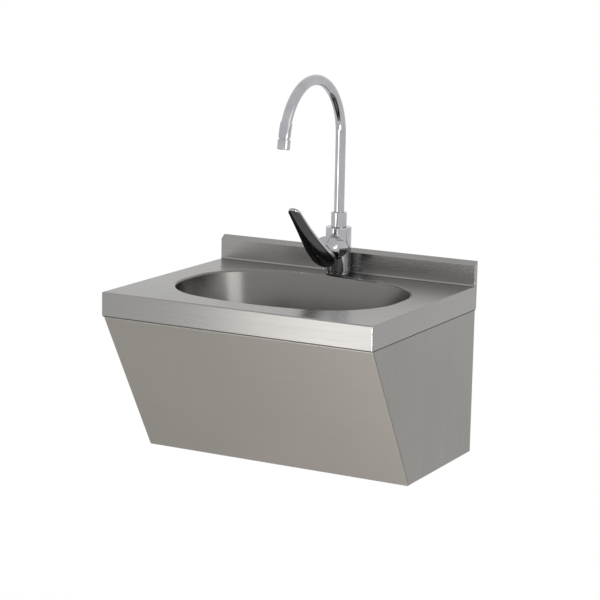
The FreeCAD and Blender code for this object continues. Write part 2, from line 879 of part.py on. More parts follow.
def trap_dip_tube():
    top = shank_low - union_seal
    return at_inlet(flared_pipe(top - trap_cup_low - trap_wall - trap_dip_clearance), top)


def trap_body():
    """Upper chamber of the bottle trap, with a neck for the dip tube and a threaded side outlet."""
    neck = rod(pipe_radius + trap_neck_wall, trap_body_top, trap_top, 0, bowl_y)
    shell = rod(trap_radius, trap_body_low, trap_body_top, 0, bowl_y)
    top_edge = [edge for edge in shell.Edges if abs(edge.BoundBox.ZMin - trap_body_top) < 1e-6]
    shell = shell.makeFillet(trap_shoulder_radius, top_edge)
    length = spigot_end - bowl_y
    start = Vector(0, bowl_y, outlet_z)
    spigot = Part.makeCylinder(waste_shank_radius, length, start, axis_y)
    spigot_bore = Part.makeCylinder(pipe_radius, length, start, axis_y)
    hollow = rod(trap_radius - trap_wall, trap_body_low, trap_body_top - trap_wall, 0, bowl_y)
    dip_hole = rod(pipe_radius, trap_body_low, trap_top, 0, bowl_y)
    return cut(fuse([neck, shell, spigot]), [hollow, spigot_bore, dip_hole])


def trap_cup():
    """Removable cup: a rounded bottom, and a skirt that screws over the body."""
    inner = trap_radius - trap_wall
    skirt = trap_radius + trap_skirt
    ledge = trap_body_low - trap_seal
    shoulder = trap_cup_low + trap_cup_shoulder_rise
    wall = trap_cup_low + trap_cup_wall_rise
    profile = [
        (0, trap_cup_low),
        (trap_cup_bottom_radius, trap_cup_low),
        (trap_cup_shoulder_radius, shoulder),
        (trap_radius, wall),
        (skirt, ledge - trap_skirt),
        (skirt, trap_body_low + trap_cup_overlap),
        (trap_radius, trap_body_low + trap_cup_overlap),
        (trap_radius, ledge),
        (inner, ledge),
        (inner, wall),
        (trap_cup_shoulder_radius - trap_wall, shoulder + trap_wall / 2),
        (trap_cup_bottom_radius, trap_cup_low + trap_wall),
        (0, trap_cup_low + trap_wall),
    ]
    return turned(profile, 0, bowl_y)


def trap_outlet_nut():
    return at_outlet(union_nut(), outlet_flare + pipe_flare + union_lip)


def trap_outlet_seal():
    return at_outlet(union_ring(), spigot_end)


def waste_pipe():
    """Pipe from the trap to the wall, with a ring that shows how far it goes into its socket."""
    pipe = at_outlet(flared_pipe(-outlet_flare), outlet_flare)
    start = Vector(0, -pipe_free_length - pipe_ring_width, outlet_z)
    ring = Part.makeCylinder(pipe_radius + pipe_ring_height, pipe_ring_width, start, axis_y)
    bore = Part.makeCylinder(pipe_radius - pipe_wall, pipe_ring_width, start, axis_y)
    return fuse([pipe, ring.cut(bore)])


# ---------------------------------------------------------------- mixer tap: places

tap_foot_z = deck_height + tap_seal
spigot_low = deck_height - tap_spigot_depth
tap_top = deck_height + tap_body_height
collar_seat = tap_top - collar_thread_depth
boss_z = deck_height + boss_height
bore_low = tap_top - spout_tail
tube_bore = tube_radius + spout_running_clearance
glide_top = collar_seat + glide_ring
stop_low = glide_top + spout_running_clearance
stop_top = stop_low + stop_ring
bend_z = deck_height + spout_straight_top

boss_place = Placement(Vector(0, tap_y, boss_z), Rotation(axis_x, 90 - boss_tilt))
pivot_place = boss_place.multiply(Placement(Vector(0, 0, pivot_distance), Rotation(axis_x, closed_tilt)))

housing_start = cartridge_seat + base_gap + base_thickness / 2
base_end = cartridge_seat + base_gap + base_thickness
fixed_disc_end = base_end + disc_thickness
moving_disc_start = fixed_disc_end + disc_clearance / 2
moving_disc_end = moving_disc_start + disc_thickness
carrier_start = moving_disc_end + disc_clearance
housing_lip_start = housing_end - housing_lip
carrier_end = housing_lip_start - carrier_clearance
dome_radius = math.hypot(boss_radius, boss_length - pivot_distance)
ports = ((-port_spread, -port_drop), (port_spread, -port_drop), (0.0, port_spread))
disc_offset = stem_ball_distance * math.sin(math.radians(closed_tilt))

# Local frames: a boss piece is built about +Z, z being its distance from the tap's axis;
# a lever piece is built about +Z too, from the pivot along the closed stem.


def on_boss(shape):
    return placed(shape, boss_place)


def on_stem(shape):
    return placed(shape, pivot_place)


# ---------------------------------------------------------------- mixer tap: body and fixing

def tap_body():
    """Column with a foot and spigot, a boss for the cartridge, and its waterways."""
    spigot = rod(tap_hole_radius - tap_hole_clearance, spigot_low, tap_foot_z, 0, tap_y)
    foot = rod(tap_foot_radius, tap_foot_z, tap_foot_z + tap_foot_height, 0, tap_y)
    column = rod(tap_body_radius, tap_foot_z + tap_foot_height, tap_top, 0, tap_y)
    rims = [edge for edge in column.Edges if edge.BoundBox.ZLength < 1e-6]
    column = column.makeFillet(tap_column_edge, rims)
    boss = on_boss(rod(boss_radius, 0, boss_length))
    body = fuse([spigot, foot, column, boss])
    inlet_top = boss_z - port_drop + port_radius
    inlet_y = tap_y - inlet_setback
    tools = [
        rod(tube_bore, bore_low, tap_top, 0, tap_y),
        rod(collar_thread_radius, collar_seat, tap_top, 0, tap_y),
        rod(2 * waterway_radius, boss_z, bore_low, 0, tap_y),
        on_boss(rod(cartridge_radius + cartridge_clearance, cartridge_seat, housing_shoulder)),
        on_boss(rod(cartridge_nut_radius, housing_shoulder, boss_length)),
        rod(tap_stud_radius, spigot_low, spigot_low + tap_stud_engagement, 0, tap_y + tap_stud_setback),
    ]
    for z in o_ring_heights():
        tools.append(rod(tube_radius + o_ring, z, z + o_ring, 0, tap_y))
    for x, y in ports:
        tools.append(on_boss(rod(port_radius, 0, cartridge_seat, x, y)))
    for side in (-1, 1):
        tools.append(rod(waterway_radius, spigot_low, inlet_top, side * inlet_spread, inlet_y))
        tools.append(rod(inlet_radius, spigot_low, spigot_low + inlet_depth, side * inlet_spread, inlet_y))
    return cut(body, tools)


def tap_base_seal():
    return tube(tap_foot_radius - tap_seal_inset, tap_hole_radius, deck_height, tap_foot_z, 0, tap_y)


def tap_stud():
    top = spigot_low + tap_stud_engagement
    return rod(tap_stud_radius, top - tap_stud_length, top, 0, tap_y + tap_stud_setback)


def clamp_outline(z_low, z_high):
    return box(-clamp_half_width, clamp_half_width, tap_y - clamp_front, tap_y + clamp_back, z_low, z_high)


clamp_rubber_low = under_deck - clamp_rubber
clamp_plate_low = clamp_rubber_low - clamp_plate


def tap_clamp_rubber():
    pad = clamp_outline(clamp_rubber_low, under_deck)
    return pad.cut(rod(tap_hole_radius, clamp_rubber_low, under_deck, 0, tap_y))


def tap_clamp_plate():
    """Horseshoe plate: a hole for the stud, and a notch for the two supply connections."""
    plate = clamp_outline(clamp_plate_low, clamp_rubber_low)
    stud_y = tap_y + tap_stud_setback
    stud_hole = rod(tap_stud_radius + clamp_hole_clearance, clamp_plate_low, clamp_rubber_low, 0, stud_y)
    notch_half = inlet_spread + 1.5 * inlet_radius
    notch_back = stud_y - tap_stud_radius - clamp_web
    notch = box(-notch_half, notch_half, tap_y - clamp_front, notch_back, clamp_plate_low, clamp_rubber_low)
    return cut(plate, [stud_hole, notch])


def tap_clamp_nut():
    low = clamp_plate_low - clamp_nut_length
    y = tap_y + tap_stud_setback
    nut = hexagon(clamp_nut_flats, low, clamp_plate_low, 0, y)
    return nut.cut(rod(tap_stud_radius, low, clamp_plate_low, 0, y))


# ---------------------------------------------------------------- mixer tap: cartridge

def cartridge_seals():
    low = cartridge_seat
    rings = [tube(port_seal_radius, port_radius, low, low + port_seal, x, y) for x, y in ports]
    return [on_boss(ring) for ring in rings]


def cartridge_base():
    low = cartridge_seat + base_gap
    plate = fuse([
        rod(cartridge_radius, low, housing_start),
        rod(housing_bore_radius - carrier_clearance, housing_start, base_end),
    ])
    for x, y in ports:
        plate = plate.cut(rod(port_radius, low, base_end, x, y))
        plate = plate.cut(rod(port_seal_radius, low, cartridge_seat + port_seal, x, y))
    return on_boss(plate)


def cartridge_housing():
    """Open-ended cup with a shoulder for the nut and a lip that keeps the carrier in."""
    return on_boss(fuse([
        tube(cartridge_radius, housing_bore_radius, housing_start, housing_shoulder),
        tube(housing_neck_radius, housing_bore_radius, housing_shoulder, housing_lip_start),
        tube(housing_neck_radius, housing_lip_radius, housing_lip_start, housing_end),
    ]))


def ceramic_disc_fixed():
    disc = rod(housing_bore_radius - carrier_clearance, base_end, fixed_disc_end)
    return on_boss(cut(disc, [rod(port_radius, base_end, fixed_disc_end, x, y) for x, y in ports]))


def ceramic_disc_moving():
    """Upper disc: a mixing hollow below and a socket for the stem's ball above."""
    disc = rod(moving_disc_radius, moving_disc_start, moving_disc_end, 0, disc_offset)
    socket_low = pivot_distance - stem_ball_distance - stem_ball_radius - disc_clearance
    socket = rod(stem_ball_radius + disc_clearance, socket_low, moving_disc_end, 0, disc_offset)
    return on_boss(disc.cut(socket))


def stem_carrier():
    """Turning holder of the stem, with a slot that lets the stem tilt."""
    carrier = rod(housing_bore_radius - carrier_clearance, carrier_start, carrier_end)
    half = stem_radius + stem_slot_clearance
    reach = max(carrier_end - pivot_distance, pivot_distance - carrier_start)
    swing = reach * math.tan(math.radians(open_tilt))
    slot = box(-half, half, -half - swing, half + swing, carrier_start, carrier_end)
    return on_boss(cut(carrier, [slot, stem_pin_rod()]))


def stem_pin_rod():
    half = housing_bore_radius - pin_inset
    return Part.makeCylinder(pin_radius, 2 * half, Vector(-half, 0, pivot_distance), axis_x)


def stem_pin():
    return on_boss(stem_pin_rod())


def lever_stem():
    """Stem through the carrier: ball end for the disc, round shank, square end for the lever."""
    half = stem_square / 2
    stem = fuse([
        Part.makeSphere(stem_ball_radius, Vector(0, 0, -stem_ball_distance)),
        rod(stem_neck_radius, -stem_ball_distance, -stem_neck_start),
        rod(stem_radius, -stem_neck_start, stem_shank_length),
        box(-half, half, -half, half, stem_shank_length, stem_length),
    ])
    reach = 2 * stem_radius
    pin_hole = Part.makeCylinder(pin_radius + pin_clearance, 2 * reach, Vector(-reach, 0, 0), axis_x)
    thread = rod(lever_screw_radius, stem_shank_length, stem_length)
    return on_stem(cut(stem, [pin_hole, thread]))


def cartridge_nut():
    ring = tube(cartridge_nut_radius, cartridge_nut_bore, housing_shoulder, cartridge_nut_end)
    reach = cartridge_nut_radius
    half = cartridge_nut_slot / 2
    low = cartridge_nut_end - cartridge_nut_slot_depth
    slots = [
        box(-reach, reach, -half, half, low, cartridge_nut_end),
        box(-half, half, -reach, reach, low, cartridge_nut_end),
    ]
    return on_boss(cut(ring, slots))


def dome_cap():
    """Round cover over the boss, centred on the pivot, with an opening for the stem."""
    centre = Vector(0, 0, pivot_distance)
    outer = Part.makeSphere(dome_radius, centre)
    inner = Part.makeSphere(dome_radius - dome_wall, centre)
    reach = 2 * dome_radius
    front = box(-reach, reach, -reach, reach, boss_length, boss_length + reach)
    inner_front = box(-reach, reach, -reach, reach, cartridge_nut_end, cartridge_nut_end + reach)
    hollow = inner.common(inner_front)
    thread = rod(cartridge_nut_radius, boss_length, cartridge_nut_end)
    opening = rod(dome_opening, boss_length, boss_length + reach)
    return on_boss(cut(outer.common(front), [hollow, thread, opening]))


# ---------------------------------------------------------------- mixer tap: lever

lever_inner = dome_radius + lever_gap
lever_outer = lever_inner + lever_shell
screw_seat = stem_length + lever_screw_seat
plug_seat = screw_seat + lever_screw_head
arm_turn = 90 - lever_rise + boss_tilt - closed_tilt       # from the stem to the paddle's normal
arm_place = Placement(Vector(0, 0, 0), Rotation(axis_x, arm_turn))

# The paddle is built with +Y along its arm and +Z out of its front, from the pivot.


def paddle_front(sink):
    """Solid under the paddle's front, which is curved both along the arm and across it."""
    half = lever_outer
    crown = lever_front - sink
    sag = lever_cross_radius - math.sqrt(lever_cross_radius ** 2 - half ** 2)
    corners = [Vector(-half, 0, crown - sag), Vector(half, 0, crown - sag)]
    arc = Part.Arc(corners[0], Vector(0, 0, crown), corners[1]).toShape()
    low = [Vector(half, 0, 0), Vector(-half, 0, 0)]
    sides = Part.makePolygon([corners[1]] + low + [corners[0]])
    face = Part.Face(Part.Wire([arc] + sides.Edges))
    centre = Vector(0, 0, crown - lever_crown_radius)
    before = math.degrees(2 * lever_outer / lever_crown_radius)
    after = math.degrees(1.2 * lever_tip_along / lever_crown_radius)
    face.rotate(centre, axis_x, before)
    solid = face.revolve(centre, axis_x, -before - after)
    solid.translate(Vector(0, lever_crown_along, 0))
    return solid


def paddle_outline():
    """Prism of the paddle's outline: round foot, hollow sides and round tip, all tangent."""
    foot_reach = lever_side_radius + lever_foot_radius
    tip_reach = lever_side_radius + lever_tip_radius
    span = lever_tip_along - lever_foot_along
    along = (span ** 2 + foot_reach ** 2 - tip_reach ** 2) / (2 * span)
    across = math.sqrt(foot_reach ** 2 - along ** 2)
    middle = span / 2
    hollow = across - math.sqrt(lever_side_radius ** 2 - (middle - along) ** 2)
    edges = []
    foot = []
    tip = []
    for side in (1, -1):
        foot.append(Vector(side * lever_foot_radius * across / foot_reach,
                           lever_foot_along + lever_foot_radius * along / foot_reach, 0))
        tip.append(Vector(side * lever_tip_radius * across / tip_reach,
                          lever_tip_along + lever_tip_radius * (along - span) / tip_reach, 0))
        waist = Vector(side * hollow, lever_foot_along + middle, 0)
        edges.append(Part.Arc(foot[-1], waist, tip[-1]).toShape())
    edges.append(Part.Arc(foot[0], Vector(0, lever_foot_along - lever_foot_radius, 0), foot[1]).toShape())
    edges.append(Part.Arc(tip[0], Vector(0, lever_tip_along + lever_tip_radius, 0), tip[1]).toShape())
    face = Part.Face(Part.Wire(Part.__sortEdges__(edges)))
    return face.extrude(Vector(0, 0, 2 * lever_front))


def paddle_behind():
    """Space behind the paddle, under its back curve."""
    half = 2 * lever_outer
    points = [Vector(-half, along, height) for along, height in lever_back]
    curve = Part.BSplineCurve()
    curve.interpolate(Points=points)
    low = [Vector(-half, lever_back[-1][0], -half), Vector(-half, lever_back[0][0], -half)]
    sides = Part.makePolygon([points[-1]] + low + [points[0]])
    face = Part.Face(Part.Wire([curve.toShape()] + sides.Edges))
    return face.extrude(Vector(2 * half, 0, 0))


def paddle():
    """Teardrop paddle with rounded edges: wide over the dome, drawn in to a round tip."""
    body = paddle_outline().common(paddle_front(0.0)).cut(paddle_behind())
    for kind, radius in ((Part.Toroid, lever_front_edge), (Part.SurfaceOfExtrusion, lever_back_edge)):
        face = next(face for face in body.Faces if isinstance(face.Surface, kind))
        body = body.makeFillet(radius, face.Edges)
    return body


def lever_handle():
    """Paddle with a hood that slides over the dome, and a hub with a square socket for the stem."""
    reach = 2 * lever_outer
    front = box(-reach, reach, -reach, reach, lever_rim, reach)
    hood = Part.makeSphere(lever_outer).common(front)
    hub = rod(lever_hub_radius, lever_hub_start, lever_outer + 2 * lever_shell)
    body = placed(paddle(), arm_place).fuse(hood).cut(Part.makeSphere(lever_inner))
    half = stem_square / 2 + lever_socket_clearance
    tools = [
        box(-half, half, -half, half, lever_hub_start, stem_length + lever_socket_clearance),
        rod(lever_screw_radius + lever_screw_clearance, stem_length, screw_seat),
        rod(lever_screw_head_radius + lever_screw_head_clearance, screw_seat, 2 * reach),
    ]
    return on_stem(cut(body.fuse(hub).removeSplitter(), tools))


def lever_screw():
    thread = rod(lever_screw_radius, stem_shank_length, screw_seat)
    head = rod(lever_screw_head_radius, screw_seat, plug_seat)
    key = hexagon(lever_screw_key, plug_seat - lever_screw_key_depth, plug_seat)
    return on_stem(fuse([thread, head]).cut(key))


def lever_plug():
    """Cover over the screw, trimmed to the paddle's front."""
    plug = rod(lever_plug_radius, plug_seat, 3 * lever_front)
    return on_stem(plug.common(placed(paddle_front(lever_plug_sink), arm_place)))


# ---------------------------------------------------------------- mixer tap: spout

spout_low = bore_low + spout_tail_gap
bend_y = tap_y - spout_bend_radius
end_angle = math.radians(spout_sweep)
end_y = bend_y + spout_bend_radius * math.cos(end_angle)
end_z = bend_z + spout_bend_radius * math.sin(end_angle)
end_place = Placement(Vector(0, end_y, end_z), Rotation(axis_x, spout_sweep))
aerator_low = aerator_neck + aerator_height


def o_ring_heights():
    first = bore_low + (collar_seat - bore_low - o_ring_spacing - o_ring) / 2
    return [first, first + o_ring_spacing]


def bend(radius, start, sweep):
    """Solid round bar along the neck's bend, from a start angle over a sweep, in degrees."""
    disc = Part.Face(Part.Wire(Part.makeCircle(radius, Vector(0, tap_y, bend_z), axis_z)))
    bar = disc.revolve(Vector(0, bend_y, bend_z), axis_x, sweep)
    bar.rotate(Vector(0, bend_y, bend_z), axis_x, start)
    return bar


def on_end(shape):
    """Place a piece built about +Z, z being its distance from the bend's end, on the tube's end."""
    return placed(shape, end_place)


def spout_tube():
    bore = tube_radius - tube_wall
    upright = tube(tube_radius, bore, spout_low, bend_z, 0, tap_y)
    neck = bend(tube_radius, 0, spout_sweep).cut(bend(bore, 0, spout_sweep))
    end = on_end(tube(tube_radius, bore, 0, spout_end))
    return fuse([upright, neck, end])


def spout_stop_ring():
    return tube(stop_ring_radius, tube_radius, stop_low, stop_top, 0, tap_y)


def spout_glide_ring():
    return tube(collar_thread_radius - glide_clearance, tube_bore, collar_seat, glide_top, 0, tap_y)


def spout_o_rings():
    middle = (tube_bore + tube_radius + o_ring) / 2
    section = (tube_radius + o_ring - tube_bore) / 2
    return [Part.makeTorus(middle, section, Vector(0, tap_y, z + o_ring / 2)) for z in o_ring_heights()]


def spout_collar():
    low = stop_top + spout_running_clearance
    top = tap_top + collar_height
    profile = [
        (tube_bore, low),
        (collar_thread_radius, low),
        (collar_thread_radius, tap_top),
        (collar_radius, tap_top),
        (collar_radius, top - collar_bevel),
        (collar_radius - collar_bevel, top),
        (tube_bore, top),
    ]
    return turned(profile, 0, tap_y)


def spout_ferrule():
    """Sleeve over the last of the bend."""
    turn = math.degrees(ferrule_length / spout_bend_radius)
    start = spout_sweep - turn
    return bend(tube_radius + ferrule_wall, start, turn).cut(bend(tube_radius, start, turn))


def aerator_housing():
    low = aerator_low
    lip = tube_radius - aerator_mouth_bevel
    profile = [
        (tube_radius, aerator_neck),
        (aerator_radius - aerator_bevel, aerator_neck),
        (aerator_radius, aerator_neck + aerator_bevel),
        (aerator_radius, low - aerator_mouth_bevel),
        (aerator_radius - aerator_mouth_bevel, low),
        (lip, low),
        (lip, low - aerator_wall),
        (tube_radius, low - aerator_wall),
    ]
    return on_end(turned(profile))


def aerator_seal_ring():
    return on_end(tube(tube_radius, tube_radius - aerator_seal_width, spout_end, spout_end + aerator_seal))


def aerator_insert():
    """Round insert with rings of small jets."""
    low = aerator_low - aerator_wall
    insert = rod(tube_radius - aerator_insert_clearance, spout_end + aerator_seal, low)
    rings = ((aerator_inner_ring, aerator_inner_count), (aerator_outer_ring, aerator_outer_count))
    jets = [rod(aerator_jet_radius, spout_end + aerator_seal, low, *place) for place in ring_places(rings)]
    return on_end(cut(insert, jets))


# ---------------------------------------------------------------- sub-parts

def main():
    os.makedirs("parts", exist_ok=True)
    export("deck_top", deck_top())
    export("splash_end_cap_left", splash_end_cap(-1))
    export("splash_end_cap_right", splash_end_cap(1))
    export("bowl", bowl())
    export("front_panel", front_panel())
    export("side_panel_left", side_panel(-1))
    export("side_panel_right", side_panel(1))
    export("rear_rail", rear_rail())
    export("wall_bracket", wall_bracket())
    export("deck_studs", *deck_studs())
    export("deck_nuts", *deck_nuts())
    export("panel_studs", *panel_studs())
    export("panel_nuts", *panel_nuts())

    export("waste_flange", waste_flange())
    export("waste_grid", waste_grid())
    export("grid_screw", grid_screw())
    export("waste_seal_upper", tube(waste_flange_radius - waste_seal_inset, waste_shank_radius,
                                    recess_z, waste_flange_low, 0, bowl_y))
    export("waste_seal_lower", tube(drain_recess_radius - lower_seal_margin, waste_shank_radius,
                                    lower_seal_low, under_bowl, 0, bowl_y))
    export("waste_slip_washer", tube(drain_recess_radius - lower_seal_margin, waste_shank_radius,
                                     slip_washer_low, lower_seal_low, 0, bowl_y))
    export("waste_locknut", hexagon(locknut_flats, locknut_low, slip_washer_low, 0, bowl_y)
           .cut(rod(waste_shank_radius, locknut_low, slip_washer_low, 0, bowl_y)))
    export("trap_inlet_nut", trap_inlet_nut())
    export("trap_inlet_seal", trap_inlet_seal())
    export("trap_dip_tube", trap_dip_tube())
    export("trap_body", trap_body())
    export("trap_cup", trap_cup())
    export("trap_cup_seal", tube(trap_radius, trap_radius - trap_wall,
                                 trap_body_low - trap_seal, trap_body_low, 0, bowl_y))
    export("trap_outlet_nut", trap_outlet_nut())
    export("trap_outlet_seal", trap_outlet_seal())
    export("waste_pipe", waste_pipe())

    export("tap_body", tap_body())
    export("tap_base_seal", tap_base_seal())
    export("tap_stud", tap_stud())
    export("tap_clamp_rubber", tap_clamp_rubber())
    export("tap_clamp_plate", tap_clamp_plate())
    export("tap_clamp_nut", tap_clamp_nut())
    export("cartridge_seals", *cartridge_seals())
    export("cartridge_base", cartridge_base())
    export("cartridge_housing", cartridge_housing())
    export("ceramic_disc_fixed", ceramic_disc_fixed())
    export("ceramic_disc_moving", ceramic_disc_moving())
    export("stem_carrier", stem_carrier())
    export("stem_pin", stem_pin())
    export("lever_stem", lever_stem())
    export("cartridge_nut", cartridge_nut())
    export("dome_cap", dome_cap())
    export("lever_handle", lever_handle())
    export("lever_screw", lever_screw())
    export("lever_plug", lever_plug())
    export("spout_collar", spout_collar())
    export("spout_glide_ring", spout_glide_ring())
    export("spout_o_rings", *spout_o_rings())
    export("spout_stop_ring", spout_stop_ring())
    export("spout_tube", spout_tube())
    export("spout_ferrule", spout_ferrule())
    export("aerator_housing", aerator_housing())
    export("aerator_seal", aerator_seal_ring())
    export("aerator_insert", aerator_insert())


main()
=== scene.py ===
"""Looks of the wall-hung stainless steel hand wash sink with its swan-neck mixer tap.

Metres. +Z is up, -Y is towards the user, +X is to the user's right, and the wall is y = 0.
"""
import bpy
import bmesh
import math
from mathutils import Matrix, Vector


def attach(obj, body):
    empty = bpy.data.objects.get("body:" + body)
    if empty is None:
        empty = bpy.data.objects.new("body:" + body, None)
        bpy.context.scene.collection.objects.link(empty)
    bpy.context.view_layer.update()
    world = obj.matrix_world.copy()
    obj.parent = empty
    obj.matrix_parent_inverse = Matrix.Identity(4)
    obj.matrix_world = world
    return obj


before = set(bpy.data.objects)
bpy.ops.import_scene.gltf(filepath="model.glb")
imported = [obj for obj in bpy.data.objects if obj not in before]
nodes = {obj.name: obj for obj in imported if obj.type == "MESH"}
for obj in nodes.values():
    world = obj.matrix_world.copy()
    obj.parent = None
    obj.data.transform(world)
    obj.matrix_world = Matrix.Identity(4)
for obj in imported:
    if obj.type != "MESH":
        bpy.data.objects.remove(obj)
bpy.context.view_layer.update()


def put(name, data):
    """A new object of the scene."""
    thing = bpy.data.objects.new(name, data)
    bpy.context.scene.collection.objects.link(thing)
    return thing


# ---------------------------------------------------------------- camera

camera_lens = 120.49
camera_sensor = 36.0
camera_sight = 60.0                  # how far it sees
camera_place = Vector((1.57207, -3.11504, 0.72378))
camera_yaw = math.radians(28.11)     # round the sink, from straight in front
camera_pitch = math.radians(11.15)   # above the horizon
camera_roll = math.radians(1.09)


def aim_camera():
    """The camera stands where the photograph's did."""
    back = Vector((math.sin(camera_yaw) * math.cos(camera_pitch),
                   -math.cos(camera_yaw) * math.cos(camera_pitch),
                   math.sin(camera_pitch)))
    level = Vector((math.cos(camera_yaw), math.sin(camera_yaw), 0.0))
    upright = back.cross(level)
    across = math.cos(camera_roll) * level + math.sin(camera_roll) * upright
    up = math.cos(camera_roll) * upright - math.sin(camera_roll) * level
    data = bpy.data.cameras.new("camera")
    data.lens = camera_lens
    data.sensor_width = camera_sensor
    data.clip_end = camera_sight
    camera = put("camera", data)
    turn = Matrix((across, up, back)).transposed().to_4x4()
    camera.matrix_world = Matrix.Translation(camera_place) @ turn
    bpy.context.scene.camera = camera


# ---------------------------------------------------------------- node helpers

mix_sockets = {"RGBA": (6, 7, 2), "VECTOR": (4, 5, 1)}   # a Mix node's two inputs and its output
noise_spread = (0.3, 0.7)        # nearly all of a noise lies between these
facing_limit = 0.7               # cosine above which a face looks along an axis
edge_cosines = (0.80, 0.99)      # rounded against flat normal, on an edge and on the flat
edge_samples = 6
shade_samples = 8
plain_seam_shade = (0.15, 0.72)        # openness that counts as shut, and as open, for the painted shade in seams


def opaque(colour):
    """A colour with its fourth number; another node's output stays as it is."""
    return (*colour, 1.0) if isinstance(colour, tuple) else colour


class Tree:
    """A node tree to which nodes are added one call at a time."""

    def __init__(self, tree):
        self.tree = tree

    def add(self, kind, wires=None, **settings):
        """A node whose inputs come from other nodes' outputs or from plain values."""
        node = self.tree.nodes.new(kind)
        for key, value in settings.items():
            setattr(node, key, value)
        for target, source in (wires or {}).items():
            self.wire(source, node.inputs[target])
        return node

    def wire(self, source, target):
        """One input takes an output or a plain value."""
        if isinstance(source, bpy.types.NodeSocket):
            self.tree.links.new(source, target)
        else:
            target.default_value = source

    def work(self, operation, *values):
        """One step of arithmetic."""
        node = self.add("ShaderNodeMath", dict(enumerate(values)), operation=operation)
        return node.outputs["Value"]

    def mix(self, kind, value, first, second):
        """The first where the value is 0, and the second where it is 1."""
        one, other, result = mix_sockets[kind]
        wires = {"Factor": value, one: first, other: second}
        return self.add("ShaderNodeMix", wires, data_type=kind).outputs[result]

    def blend(self, value, first, second):
        """A colour between two others."""
        return self.mix("RGBA", value, opaque(first), opaque(second))


class Finish(Tree):
    """A material, with the patterns and reliefs that finishes are made of."""

    def __init__(self, name, colour, metal, rough):
        self.material = bpy.data.materials.new(name)
        self.material.use_nodes = True
        super().__init__(self.material.node_tree)
        self.shader = self.tree.nodes["Principled BSDF"]
        self.give("Base Color", opaque(colour))
        self.give("Metallic", metal)
        self.give("Roughness", rough)
        self.place = self.add("ShaderNodeTexCoord").outputs["Object"]

    def give(self, socket, source):
        """The shader takes an output or a plain value."""
        self.wire(source, self.shader.inputs[socket])

    def normal(self):
        """The face's own normal."""
        return self.add("ShaderNodeNewGeometry").outputs["Normal"]

    def stretch(self, scale):
        """Object coordinates drawn out by one factor for each axis."""
        node = self.add("ShaderNodeMapping", {"Scale": scale, "Vector": self.place})
        return node.outputs["Vector"]

    def noise(self, vector, scale, detail, rough):
        """A noise with its scale, its number of finer layers, and how strong those are."""
        node = self.add("ShaderNodeTexNoise", {
            "Scale": scale, "Detail": detail, "Roughness": rough, "Vector": vector})
        return node.outputs["Fac"]

    def span(self, value, low, high, between=noise_spread):
        """A value between two others becomes one between low and high."""
        start, end = between
        node = self.add("ShaderNodeMapRange", {
            "From Min": start, "From Max": end, "To Min": low, "To Max": high, "Value": value})
        return node.outputs["Result"]

    def weigh(self, *parts):
        """Sum of values, each times its own weight."""
        shares = [self.work("MULTIPLY", value, weight) for value, weight in parts]
        total = shares[0]
        for share in shares[1:]:
            total = self.work("ADD", total, share)
        return total

    def bump(self, height, depth, strength):
        """Relief of that depth in metres, over any relief given before."""
        wires = {"Strength": strength, "Distance": depth, "Height": height}
        before = self.shader.inputs["Normal"].links
        if before:
            wires["Normal"] = before[0].from_socket
        self.give("Normal", self.add("ShaderNodeBump", wires).outputs["Normal"])

    def facing_along(self, axis):
        """1 where a face looks along an axis, either way, and 0 elsewhere."""
        split = self.add("ShaderNodeSeparateXYZ", {0: self.normal()})
        size = self.work("ABSOLUTE", split.outputs[axis.upper()])
        return self.work("GREATER_THAN", size, facing_limit)

    def grain_direction(self, along, amount):
        """Reflections are drawn out across a grain that runs along a direction."""
        self.give("Anisotropic", amount)
        cross = self.add("ShaderNodeVectorMath", {0: self.normal(), 1: along},
                         operation="CROSS_PRODUCT")
        self.give("Tangent", cross.outputs["Vector"])

    def soft_edges(self, radius):
        """Sharp edges shade as if rounded; 1 along an edge, 0 on the flat."""
        bevel = self.add("ShaderNodeBevel", {"Radius": radius}, samples=edge_samples)
        rounded = bevel.outputs["Normal"]
        match = self.add("ShaderNodeVectorMath", {0: rounded, 1: self.normal()},
                         operation="DOT_PRODUCT")
        self.give("Normal", rounded)
        return self.span(match.outputs["Value"], 1.0, 0.0, edge_cosines)

    def painted_crevice_shade(self, reach, between=plain_seam_shade):
        """Painted shade in seams and creases: 1 in the open, falling to 0 deep in a seam."""
        node = self.add("ShaderNodeAmbientOcclusion", {"Distance": reach}, samples=shade_samples)
        return self.span(node.outputs["AO"], 0.0, 1.0, between)


# ---------------------------------------------------------------- finishes

axes = {"x": (1.0, 0.0, 0.0), "y": (0.0, 1.0, 0.0), "z": (0.0, 0.0, 1.0)}
sheet_seam_shade = (0.004, plain_seam_shade)      # reach of the painted shade in a seam, and when it is shut and open
# Wider, darker painted shade on the casing panels, under the deck's lip and at their seams.
casing_seam_shade = (0.008, (0.62, 0.80))


